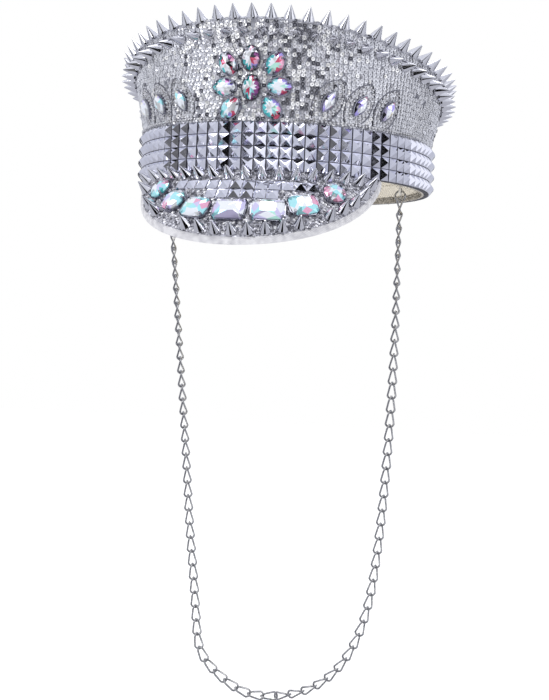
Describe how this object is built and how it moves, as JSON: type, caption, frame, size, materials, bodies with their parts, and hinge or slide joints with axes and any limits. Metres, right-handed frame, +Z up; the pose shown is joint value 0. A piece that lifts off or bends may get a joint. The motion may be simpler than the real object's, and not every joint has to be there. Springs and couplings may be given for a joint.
{
  "type": "peaked festival cap",
  "caption": "Peaked festival cap with a sequinned crown, cone spikes, pyramid studs, set crystals and a chain loop that hangs from both sides.",
  "frame": {"origin": "centre of the head opening, in the plane of the band's lower edge", "axes": "+Z up out of the wearer's head, -Y to the front (the visor), +X to the wearer's left; right-handed"},
  "size_m": [0.2068, 0.2469, 0.4118],
  "materials": {
    "sweatband": "cream cotton tape",
    "hem_tape": "rough woven grey-tan tape",
    "band_core": "stiff board",
    "band_cover": "matt silver-grey cloth",
    "sequin_cloth": "sequinned, pale lavender-grey",
    "crown_hoop": "sprung strip, sealed inside",
    "front_stay": "sealed inside",
    "crown_lining": "cream cotton",
    "spike_metal": "polished",
    "visor_cover": "metallic silver cloth",
    "visor_board": "stiff board",
    "visor_underlining": "cream cloth",
    "visor_binding": "silver braid",
    "visor_crystal": "foil-backed, pale",
    "crystal_cup": "polished",
    "badge_crystal": "foil-backed, teal and violet",
    "stud_metal": "polished",
    "motif_crystal": "foil-backed, pale",
    "rhinestone": "foil-backed, clear",
    "strap": "matt",
    "eyelet": "nickel plated",
    "chain_metal": "nickel plated"
  },
  "bodies": {
    "cap": {"sweatband": "sweatband", "hem_tape": "hem_tape", "band_core": "band_core", "band_cover": "band_cover", "crown_side_panel": "sequin_cloth", "crown_top_panel": "sequin_cloth", "crown_edge_hoop": "crown_hoop", "crown_front_stay": "front_stay", "crown_side_lining": "crown_lining", "crown_top_lining": "crown_lining", "crown_upper_spikes": "spike_metal", "crown_lower_spikes": "spike_metal", "visor_cover": "visor_cover", "visor_board": "visor_board", "visor_underlining": "visor_underlining", "visor_binding": "visor_binding", "visor_rectangle_crystals": "visor_crystal", "visor_cushion_crystals": "visor_crystal", "visor_round_crystals": "visor_crystal", "visor_small_crystals": "visor_crystal", "visor_crystal_cups": "crystal_cup", "visor_rim_spikes": "spike_metal", "visor_seam_spikes": "spike_metal", "visor_studs": "stud_metal", "badge_crystals": "badge_crystal", "badge_cups": "crystal_cup", "band_studs_row_1": "stud_metal", "band_studs_row_2": "stud_metal", "band_studs_row_3": "stud_metal", "band_studs_row_4": "stud_metal", "left_motif_stones": "motif_crystal", "left_motif_cups": "crystal_cup", "left_motif_rhinestones": "rhinestone", "left_strap": "strap", "left_strap_eyelet": "eyelet", "right_motif_stones": "motif_crystal", "right_motif_cups": "crystal_cup", "right_motif_rhinestones": "rhinestone", "right_strap": "strap", "right_strap_eyelet": "eyelet"},
    "chain": {"chain_links": "chain_metal", "left_jump_ring": "chain_metal", "right_jump_ring": "chain_metal"}
  },
  "joints": [
    {"name": "chain_swing", "type": "hinge", "parent": "cap", "child": "chain", "pos_m": [0, -0.007, 0], "axis": [1, 0, 0], "range_deg": [-60, 50]}
  ]
}
